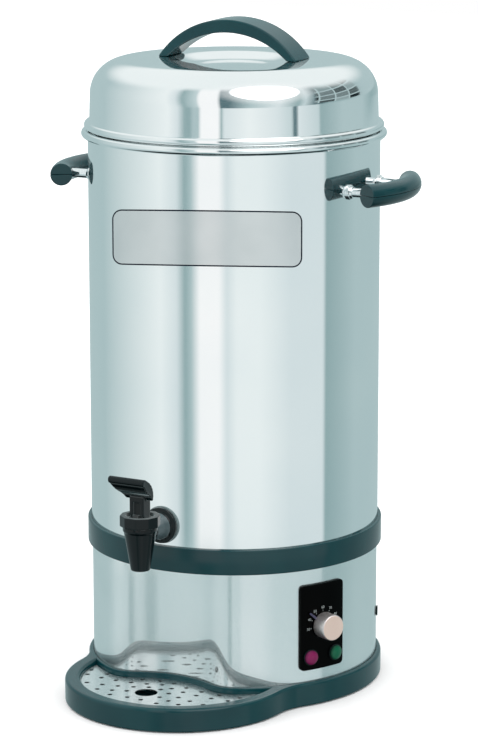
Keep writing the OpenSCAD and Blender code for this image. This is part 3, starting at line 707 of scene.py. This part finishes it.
def thumb_plate():
    """Thick plate that sweeps up and forward from the lever post to a wide round ridge."""
    ridge_ahead, ridge_z, ridge_r = 22.0, 226.2, 3.3
    half, foot_half, foot_z = 18.4, 13.4, 205.0
    # distance in front of the spout axis and height: round the ridge, down the back, up the front
    side = arc(ridge_ahead, ridge_z, ridge_r, -60, 118, 12)
    side += [(17.0, 227.2), (13.0, 224.7), (9.6, 222.0), (6.6, 218.7), (3.8, 214.5), (1.4, 210.0)]
    side += [(-0.3, 205.4), (1.2, foot_z), (3.8, 208.2), (7.2, 210.9), (11.2, 213.2)]
    side += [(15.0, 215.6), (18.7, 218.8), (21.6, 221.8)]
    plate = trace("thumb_plate", [(-half, SPOUT_Y - ahead, z) for ahead, z in side])
    bpy.ops.mesh.select_all(action="SELECT")
    bpy.ops.mesh.edge_face_add()
    bpy.ops.mesh.extrude_region_move(TRANSFORM_OT_translate={"value": (2 * half * MM, 0, 0)})
    for ahead, z in side:
        place = Vector((SPOUT_Y - ahead, z)) * MM
        rise = min(1.0, (z - foot_z) / (ridge_z - foot_z))
        width = foot_half + (half - foot_half) * rise**0.6
        pick(plate, "verts", lambda v: (Vector(v.co.yz) - place).length < 0.000001)
        bpy.ops.transform.resize(value=(width / half, 1, 1), center_override=(0, 0, 0))
    close_up(plate)
    return plate


def make_sleeve():
    """Grey sleeve on the tap inlet, between its flange and the spout."""
    bore_r, flange, spout = 9.6, 142.5, 160.0
    section = [(bore_r, flange), (12.3, flange), (12.2, 143.6), (11.0, 147.4), (10.4, 149.4)]
    section += [(10.1, spout), (bore_r, spout)]
    sleeve = turned("inlet_sleeve", section, 72, middle=0.0)
    forward = Matrix.Rotation(math.radians(90), 4, "X")
    settle(sleeve, at_axis(0.0) @ Matrix.Translation((0, 0, TAP_Z * MM)) @ forward)
    dress(sleeve, "boiler", SLEEVE, "black_plastic")


def hide_from_mirrors(*names):
    """Keeps pieces out of the mirror images in the steel, where the photograph shows none."""
    for name in names:
        bpy.data.objects[name].visible_glossy = False
    for name in ("tap_seal_outer", "tap_seal_inner", "tap_nut", "tap_pivot_pin", "tap_seat_cup"):
        nodes[name].visible_glossy = False


# Controls

PANEL_TURN, PANEL_FACE, KNOB_Z, LENS_Z, LENS_U = 65.3, 136.8, 75.3, 46.3, 14.0


def on_panel(u, z, out=0.0):
    """Place on the control panel: u to the right, z up, out from its face, +Z pointing out."""
    turn = PANEL_TURN + math.degrees(math.asin(u / PANEL_FACE))
    tilt = Matrix.Rotation(math.radians(90), 4, "X")
    return at_axis(turn) @ Matrix.Translation((0, -(PANEL_FACE + out) * MM, z * MM)) @ tilt


def make_knob():
    """Thermostat knob: turned cap with a bright bevel, and the pointer that turns with it."""
    back, front, out_r = 0.5, 15.4, 12.0
    section = [(0, back), (11.2, back)] + arc(11.3, 1.2, 0.7, -90, 0, 3)
    section += [(out_r, 4), (out_r, 9), (out_r, 14.3), (11.9, 14.6), (11.2, 15.3)]
    section += [(10.9, front), (0, front)]
    knob = turned("knob_cap", section, 96, 20, middle=0.0)
    settle(knob, on_panel(0, KNOB_Z))
    dress(knob, "thermostat", KNOB_SIDE, "knob_metal", "thermostat_knob")
    section = [(0, 15.2), (11.3, 15.2), (11.3, 15.38), (11.1, 15.48), (0, 15.48)]
    face = turned("knob_face", section, 96, 20, middle=0.0)
    settle(face, on_panel(0, KNOB_Z))
    dress(face, "thermostat", KNOB, "knob_metal")
    outline = [(10.5, -1.3), (20.4, -0.9), (21.0, 0), (20.4, 0.9), (10.5, 1.3)]
    point = prism("knob_pointer", outline, 0.45, 1.15)
    apply_modifier(point, "BEVEL", width=0.2 * MM, segments=2, limit_method="ANGLE")
    rest_angle = 140.0
    settle(point, on_panel(0, KNOB_Z) @ Matrix.Rotation(math.radians(rest_angle), 4, "Z"))
    close_up(point, 35)
    dress(point, "thermostat", VIOLET, "black_plastic")


def make_dial():
    """Printed numerals and ticks around the knob."""
    marks, first_angle, step_angle = 8, 188.0, 32.2
    numeral_reach, tick_reach = 16.6, 13.6
    half_long, half_wide, half_thick = 0.7, 0.2, 0.02
    bar = [(-half_long, -half_wide), (half_long, -half_wide), (half_long, half_wide),
           (-half_long, half_wide)]
    pieces = []
    for number in range(marks):
        angle = math.radians(first_angle - step_angle * number)
        for reach, kind in ((numeral_reach, "numeral"), (tick_reach, "tick")):
            u, z = reach * math.cos(angle), KNOB_Z + reach * math.sin(angle)
            if kind == "numeral":
                start()
                bpy.ops.object.text_add()
                text = bpy.context.object
                text.data.body = str(30 + 10 * number)
                text.data.size, text.data.extrude = 3.6 * MM, half_thick * MM
                text.data.align_x, text.data.align_y = "CENTER", "CENTER"
                bpy.ops.object.convert(target="MESH")
                mark, turn = bpy.context.object, 0.0
            else:
                mark, turn = prism("tick", bar, -half_thick, half_thick), angle
            settle(mark, on_panel(u, z, 0.03) @ Matrix.Rotation(turn, 4, "Z"))
            pieces.append(mark)
    obj = joined("dial_print", pieces)
    close_up(obj, 30)
    dress(obj, "boiler", PRINT, "light_plastic")


def lamp_lens(name, painted_glow, edge, centre):
    """Lamp lens: coloured plastic with a painted glow that makes its middle paler, and painted
    shade that darkens it towards the rim.
    """
    material, tree, shader, where = new_material(name)
    away = add(tree, "ShaderNodeVectorMath", {"operation": "DISTANCE"}, {1: centre}, {0: where})
    part = add(tree, "ShaderNodeMapRange", values={"From Max": 0.0085},
               links={"Value": away.outputs["Value"]})
    colour = add(tree, "ShaderNodeValToRGB", links={"Fac": part.outputs[0]})
    # painted light: the middle is painted paler as a glow, the rim painted darker as shade
    set_ramp(colour, [(0.0, tone(painted_glow)), (0.55, tone(painted_glow)), (1.0, tone(edge))])
    tree.links.new(colour.outputs[0], shader.inputs["Base Color"])
    ribs = add(tree, "ShaderNodeTexNoise", values={"Scale": 600.0, "Detail": 0.0},
               links={"Vector": where})
    bump = add(tree, "ShaderNodeBump", values={"Strength": 0.3, "Distance": 0.0001},
               links={"Height": ribs.outputs[0]})
    tree.links.new(bump.outputs[0], shader.inputs["Normal"])
    shader.inputs["Roughness"].default_value = 0.12
    shader.inputs["Specular IOR Level"].default_value = 0.3
    return material


def make_lamps():
    """Pilot lamps: domes in dark bezels."""
    dome_r, dome_foot, dome_wall, dome_top = 6.7, -0.6, 2.4, 4.2
    dome_section = [(0, dome_foot), (dome_r, dome_foot), (dome_r, dome_wall)]
    dome_section += arc(dome_r - 0.6, dome_wall, 0.6, 0, 60, 3)
    dome_section += [(5.2, 3.3), (4.0, 3.75), (2.6, 4.05), (1.2, dome_top), (0, 4.25)]
    ring_in, ring_out, ring_foot, ring_wall = 6.75, 7.6, -0.8, 1.0
    ring_section = [(ring_in, ring_foot), (ring_out, ring_foot), (ring_out, ring_wall)]
    ring_section += arc(ring_out - 0.3, ring_wall, 0.3, 0, 90, 3) + [(ring_in, 1.3)]
    # each lens: its colour with a painted glow, then the painted shade at its rim
    for u, name, painted_glow, edge in ((-LENS_U, "red", "#8e1d5c", "#2c0b2a"),
                                 (LENS_U, "green", "#106b4a", "#041c15")):
        dome = turned(f"{name}_lamp", dome_section, 64, 25, middle=0.0)
        settle(dome, on_panel(u, LENS_Z))
        centre = on_panel(u, LENS_Z, dome_top).translation
        lens = lamp_lens(f"{name}_lamp_lens", painted_glow, edge, centre)
        dress(dome, "boiler", lens, f"{name}_lens", f"pilot_lens_{name}")
        ring = turned(f"{name}_lamp_bezel", ring_section, 64, 25, middle=0.0)
        settle(ring, on_panel(u, LENS_Z))
        dress(ring, "boiler", BLACK, "black_plastic")


def make_sign():
    """Bare label on the pot front: thin film with round corners and a dark edge."""
    # the outline is cut along the line of sight, so that its edges look level to the viewer
    sight_turn, sight_tilt = 28.43, math.radians(80.41)
    middle_x, middle_z, slant = -23.8, 415.5, 0.014
    low, high, back = 385.0, 475.0, BODY_R - 0.1
    sight = at_axis(sight_turn) @ Matrix.Translation((middle_x * MM, 0, middle_z * MM))
    sight = sight @ Matrix.Rotation(sight_tilt, 4, "X")
    for name, grow, out, material in (("label_edge", 0.0, 0.12, LABEL_EDGE),
                                      ("label_film", -1.25, 0.2, LABEL)):
        width, height = 85.6 + grow, 24.9 + grow
        corner = 9.0 + grow
        across, up = width - corner, height - corner
        outline = []
        for x, y, first in ((1, 1, 0), (-1, 1, 90), (-1, -1, 180), (1, -1, 270)):
            outline += arc(x * across, y * up, corner, first, first + 90, 8)
        outline = [(x, y - slant * x) for x, y in outline]
        face = BODY_R + out
        plate = turned(name, [(back, low), (face, low), (face, high), (back, high)], 360)
        tool = prism("label_tool", outline, 20.0, 220.0)
        settle(tool, sight)
        carve(plate, tool, "INTERSECT")
        close_up(plate, 30)
        dress(plate, "boiler", material, "light_plastic")


set_camera()
make_pot()
make_inside()
make_lid()
make_band()
make_housing()
make_base()
make_bow()
make_grips()
make_collars()
make_tap()
make_sleeve()
make_knob()
make_dial()
make_lamps()
make_sign()
hide_from_mirrors("tap_casting", "tap_cap", "tap_handle", "inlet_sleeve")

# Floor and light

start()
bpy.ops.mesh.primitive_plane_add(size=12.0)
floor = bpy.context.object
floor.name = "studio_floor"
paper, _, shader, _ = new_material("white_studio_paper")
shader.inputs["Roughness"].default_value = 0.9
shader.inputs["Specular IOR Level"].default_value = 0.0
shader.inputs["Base Color"].default_value = tone("#ffffff")
floor.data.materials.append(paper)
floor.visible_glossy = False
floor.visible_diffuse = False


# plain paints of the studio that the mirrors show, from its soft boxes to its table top
WHITE, BRIGHT, PALE, DULL, GREY, SHADE, DARK, BLACKISH = (
    "#ffffff", "#f0f6f6", "#dce6e8", "#c6d6d8", "#b0c5c7", "#94aeb0", "#58747a", "#0d1b1e")


def light_studio():
    """White sweep around the object; mirrors see the walls, stands and lamp of a studio."""
    world = bpy.data.worlds.new("studio")
    bpy.context.scene.world = world
    world.use_nodes = True
    tree = world.node_tree
    tree.nodes.clear()
    way = add(tree, "ShaderNodeTexCoord").outputs["Generated"]
    turn = add(tree, "ShaderNodeVectorRotate", {"rotation_type": "Z_AXIS"},
               {"Angle": -VIEW_TURN}, {"Vector": way})
    flat = add(tree, "ShaderNodeSeparateXYZ", links={"Vector": turn.outputs[0]})
    above = add(tree, "ShaderNodeMath", {"operation": "MAXIMUM"}, {1: 0.0}, {0: flat.outputs["Z"]})
    lean = add(tree, "ShaderNodeMath", {"operation": "MULTIPLY"}, {1: 0.3}, {0: above.outputs[0]})
    # side angle of a direction, 0 towards the viewer and growing to the right;
    # the walls lean in higher up
    toward = add(tree, "ShaderNodeMath", {"operation": "SUBTRACT"},
                 links={0: lean.outputs[0], 1: flat.outputs["Y"]})
    angle = add(tree, "ShaderNodeMath", {"operation": "ARCTAN2"},
                links={0: flat.outputs["X"], 1: toward.outputs[0]})
    part = add(tree, "ShaderNodeMapRange", values={"From Min": -math.pi, "From Max": math.pi},
               links={"Value": angle.outputs[0]})

    def walls(stops):
        """Wall all around, from stops of side angle in degrees and paint."""
        ramp = add(tree, "ShaderNodeValToRGB", links={"Fac": part.outputs[0]})
        set_ramp(ramp, [((a + 180.0) / 360.0, tone(h)) for a, h in stops])
        return ramp.outputs[0]

    def over(low_z, high_z, below, upon):
        """One layer above another, fading between two heights of the direction."""
        rise = add(tree, "ShaderNodeMapRange", {"interpolation_type": "SMOOTHSTEP"},
                   {"From Min": low_z, "From Max": high_z}, {"Value": flat.outputs["Z"]})
        mix = add(tree, "ShaderNodeMix", {"data_type": "RGBA"},
                  links={0: rise.outputs[0], 6: below, 7: upon})
        return mix.outputs[2]

    # where one paint ends and the next begins, between them the tone fades
    floor_edge = walls((
        (-180, GREY), (-125, GREY), (-95, DULL), (-34, DULL), (-25, SHADE), (-19, SHADE),
        (-12, DULL), (0, DULL), (6, PALE), (20, PALE), (32, DULL), (73, DULL), (76, SHADE),
        (115, GREY), (180, GREY)))
    low_wall = walls((
        (-180, GREY), (-125, GREY), (-60, BRIGHT), (-46, PALE), (-39, SHADE), (-34, GREY),
        (-27, WHITE), (-12, WHITE), (-6, PALE), (2, BRIGHT), (20, BRIGHT), (45, PALE),
        (74, PALE), (77, SHADE), (110, GREY), (180, GREY)))
    mid_wall = walls((
        (-180, GREY), (-125, GREY), (-53, BRIGHT), (-45, PALE), (-39, SHADE), (-35, SHADE),
        (-32, GREY), (-28, GREY), (-26, WHITE), (-12, WHITE), (-10, SHADE), (-8, PALE),
        (12, BRIGHT), (34, PALE), (46, DULL), (48, DARK), (50, DARK), (52, PALE), (70, DULL),
        (72, SHADE), (95, GREY), (122, GREY), (140, SHADE), (180, GREY)))
    high_wall = walls((
        (-180, GREY), (-125, GREY), (-53, BRIGHT), (-45, PALE), (-39, SHADE), (-33, GREY),
        (-28, DULL), (-26, WHITE), (-12, WHITE), (-10, DARK), (-4, DARK), (12, GREY),
        (34, PALE), (50, SHADE), (56, DULL), (66, DARK), (72, DARK), (80, SHADE), (128, GREY),
        (180, GREY)))
    # panes of a window wall at the right
    spread = add(tree, "ShaderNodeCombineXYZ", links={0: angle.outputs[0], 1: flat.outputs["Z"]})
    panes = add(tree, "ShaderNodeTexBrick", {"offset": 0.0, "squash": 1.0},
                {"Scale": 1.0, "Mortar Size": 0.018, "Mortar Smooth": 0.3, "Bias": 0.3,
                 "Brick Width": 0.3, "Row Height": 0.17, "Color1": tone(GREY),
                 "Color2": tone(BLACKISH), "Mortar": tone(GREY)},
                {"Vector": spread.outputs[0]})

    def within(source, points):
        """1 between two edges of a value, each edge fading from one point to the next."""
        rise = add(tree, "ShaderNodeMapRange", {"interpolation_type": "SMOOTHSTEP"},
                   {"From Min": points[0], "From Max": points[1]}, {"Value": source})
        fall = add(tree, "ShaderNodeMapRange", {"interpolation_type": "SMOOTHSTEP"},
                   {"From Min": points[2], "From Max": points[3], "To Min": 1.0, "To Max": 0.0},
                   {"Value": source})
        return add(tree, "ShaderNodeMath", {"operation": "MULTIPLY"},
                   links={0: rise.outputs[0], 1: fall.outputs[0]})

    across = within(angle.outputs[0], (1.1, 1.16, 2.0, 2.15))
    upright = within(flat.outputs["Z"], (0.06, 0.08, 0.62, 0.7))
    window = add(tree, "ShaderNodeMath", {"operation": "MULTIPLY"},
                 links={0: across.outputs[0], 1: upright.outputs[0]})
    room = over(-0.272, -0.262, floor_edge, low_wall)
    room = over(-0.11, -0.085, room, mid_wall)
    room = over(0.0, 0.045, room, high_wall)
    room = add(tree, "ShaderNodeMix", {"data_type": "RGBA"},
               links={0: window.outputs[0], 6: room, 7: panes.outputs["Color"]}).outputs[2]
    # dark table top right below the object
    table = add(tree, "ShaderNodeMapRange", {"interpolation_type": "SMOOTHSTEP"},
                {"From Min": -0.85, "From Max": -0.6}, {"Value": flat.outputs["Z"]})
    room = add(tree, "ShaderNodeMix", {"data_type": "RGBA"}, {6: tone(BLACKISH)},
               {0: table.outputs[0], 7: room}).outputs[2]
    # pale ceiling that comes down lower behind the object
    slope = add(tree, "ShaderNodeMath", {"operation": "MULTIPLY_ADD"}, {1: 0.35},
                {0: flat.outputs["Y"], 2: flat.outputs["Z"]})
    roof = add(tree, "ShaderNodeMapRange", {"interpolation_type": "SMOOTHSTEP"},
               {"From Min": 0.56, "From Max": 0.8}, {"Value": slope.outputs[0]})
    room = add(tree, "ShaderNodeMix", {"data_type": "RGBA"}, {7: tone(BRIGHT)},
               {0: roof.outputs[0], 6: room}).outputs[2]
    # round lamp with a diffuser, high up and right of the camera, in a paler halo
    lamp_way = (0.36, -0.58, 0.731)
    near = add(tree, "ShaderNodeVectorMath", {"operation": "DOT_PRODUCT"}, {1: lamp_way},
               {0: turn.outputs[0]})
    for first, last, most, bright in ((0.76, 0.93, 0.45, 1.0), (0.905, 0.93, 1.0, 2.2)):
        disc = add(tree, "ShaderNodeMapRange", {"interpolation_type": "SMOOTHSTEP"},
                   {"From Min": first, "From Max": last, "To Max": most},
                   {"Value": near.outputs["Value"]})
        room = add(tree, "ShaderNodeMix", {"data_type": "RGBA"},
                   {7: (bright, bright, bright, 1.0)},
                   {0: disc.outputs[0], 6: room}).outputs[2]
    # plain light for everything dull: strong from above, weak from below
    soft = add(tree, "ShaderNodeMapRange", {"interpolation_type": "SMOOTHSTEP"},
               {"From Min": -0.3, "From Max": 1.0, "To Min": 0.3, "To Max": 1.7},
               {"Value": flat.outputs["Z"]})
    ray = add(tree, "ShaderNodeLightPath")
    mirror = add(tree, "ShaderNodeMath", {"operation": "MAXIMUM"},
                 links={0: ray.outputs["Is Glossy Ray"], 1: ray.outputs["Is Transmission Ray"]})
    seen = add(tree, "ShaderNodeMix", {"data_type": "RGBA"},
               links={0: mirror.outputs[0], 6: soft.outputs[0], 7: room})
    shown = add(tree, "ShaderNodeMix", {"data_type": "RGBA"}, {7: tone(WHITE)},
                {0: ray.outputs["Is Camera Ray"], 6: seen.outputs[2]})
    sky = add(tree, "ShaderNodeBackground", values={"Strength": 1.0},
              links={"Color": shown.outputs[2]})
    add(tree, "ShaderNodeOutputWorld", links={"Surface": sky.outputs[0]})


light_studio()

bpy.context.scene.view_settings.view_transform = "Standard"

start()
